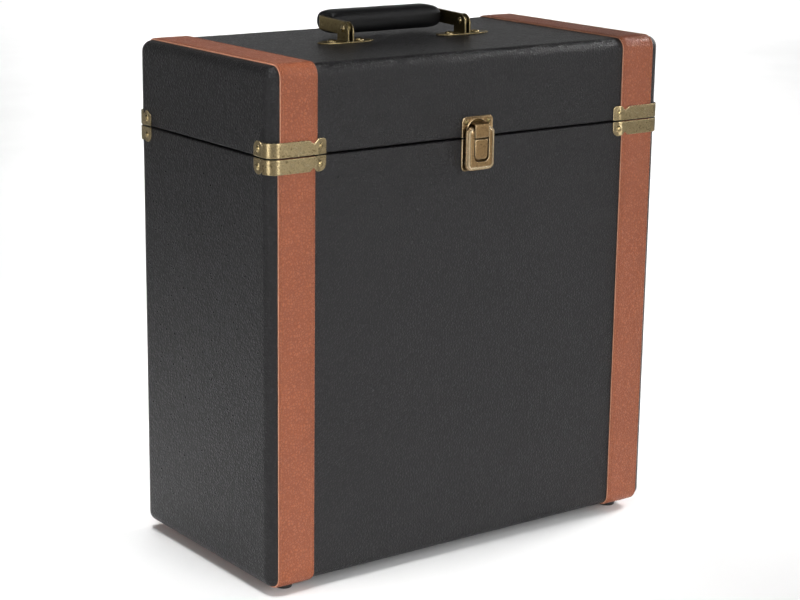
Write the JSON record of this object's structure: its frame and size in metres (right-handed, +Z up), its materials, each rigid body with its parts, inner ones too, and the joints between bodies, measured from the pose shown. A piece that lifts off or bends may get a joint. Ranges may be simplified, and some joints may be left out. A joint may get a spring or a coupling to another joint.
{
  "type": "record carrying case",
  "caption": "Upright covered case for records with a rear-hinged lid, a front draw latch, a fold-down carrying handle, wrapped trim straps and corner brackets.",
  "frame": {"origin": "on the surface the case stands on, in the middle of its footprint", "axes": "+Z up, +X to the right seen from the latch side, the latch side faces -Y and the lid hinges at +Y"},
  "size_m": [0.3542, 0.1876, 0.3931],
  "materials": {
    "fibreboard": "raw pressed board",
    "black_leatherette": "fine pebble grain, low sheen",
    "lining_cloth": "flat woven lining",
    "brown_leatherette": "fine pebble grain, stitched edges",
    "foot_rubber": "matte",
    "screw_steel": "zinc plated",
    "grip_leather": "smooth padded, soft sheen",
    "dark_brass": "antiqued",
    "latch_brass": "antiqued, bright worn edges",
    "antique_brass": "antiqued, mottled"
  },
  "bodies": {
    "case": {"body_front_board": "fibreboard", "body_back_board": "fibreboard", "body_left_board": "fibreboard", "body_right_board": "fibreboard", "body_base_board": "fibreboard", "body_cover": "black_leatherette", "body_lining": "lining_cloth", "body_strap_left": "brown_leatherette", "body_strap_right": "brown_leatherette", "body_corner_brackets": "antique_brass", "body_bracket_nails": "antique_brass", "latch_base_plate": "latch_brass", "latch_base_rivets": "latch_brass", "latch_lever_pin": "dark_brass", "body_hinge_leaves": "antique_brass", "body_hinge_rivets": "antique_brass", "hinge_pins": "dark_brass", "rubber_feet": "foot_rubber", "foot_screws": "screw_steel"},
    "lid": {"lid_top_board": "fibreboard", "lid_front_board": "fibreboard", "lid_back_board": "fibreboard", "lid_left_board": "fibreboard", "lid_right_board": "fibreboard", "lid_cover": "black_leatherette", "lid_lining": "lining_cloth", "lid_strap_left": "brown_leatherette", "lid_strap_right": "brown_leatherette", "lid_corner_brackets": "antique_brass", "lid_bracket_nails": "antique_brass", "latch_catch_plate": "latch_brass", "latch_catch_rivets": "latch_brass", "lid_hinge_leaves": "antique_brass", "lid_hinge_rivets": "antique_brass", "handle_brackets": "antique_brass", "handle_bracket_rivets": "antique_brass", "handle_pivot_pins": "dark_brass"},
    "latch_lever": {"latch_lever": "latch_brass", "latch_cross_pins": "dark_brass"},
    "latch_tongue": {"latch_tongue": "latch_brass"},
    "latch_thumb_tab": {"latch_thumb_tab": "latch_brass"},
    "handle": {"handle_strap": "antique_brass", "handle_grip": "grip_leather"}
  },
  "joints": [
    {"name": "lid_hinge", "type": "hinge", "parent": "case", "child": "lid", "pos_m": [0, 0.0906, 0.3117], "axis": [-1, 0, 0], "range_deg": [0, 105]},
    {"name": "latch_lever_hinge", "type": "hinge", "parent": "case", "child": "latch_lever", "pos_m": [0, -0.0919, 0.3175], "axis": [-1, 0, 0], "range_deg": [0, 95]},
    {"name": "latch_tongue_hinge", "type": "hinge", "parent": "latch_lever", "child": "latch_tongue", "pos_m": [0, -0.0919, 0.3137], "axis": [-1, 0, 0], "range_deg": [-95, 0]},
    {"name": "thumb_tab_press", "type": "hinge", "parent": "latch_lever", "child": "latch_thumb_tab", "pos_m": [0, -0.0919, 0.3091], "axis": [1, 0, 0], "range_deg": [0, 8], "stiffness_Nm_per_rad": 0.02},
    {"name": "handle_pivot", "type": "hinge", "parent": "lid", "child": "handle", "pos_m": [0, 0, 0.3829], "axis": [1, 0, 0], "range_deg": [-2, 178]}
  ],
  "couplings": [
    {"joint": "latch_tongue_hinge", "follows": "latch_lever_hinge", "ratio": -1}
  ]
}
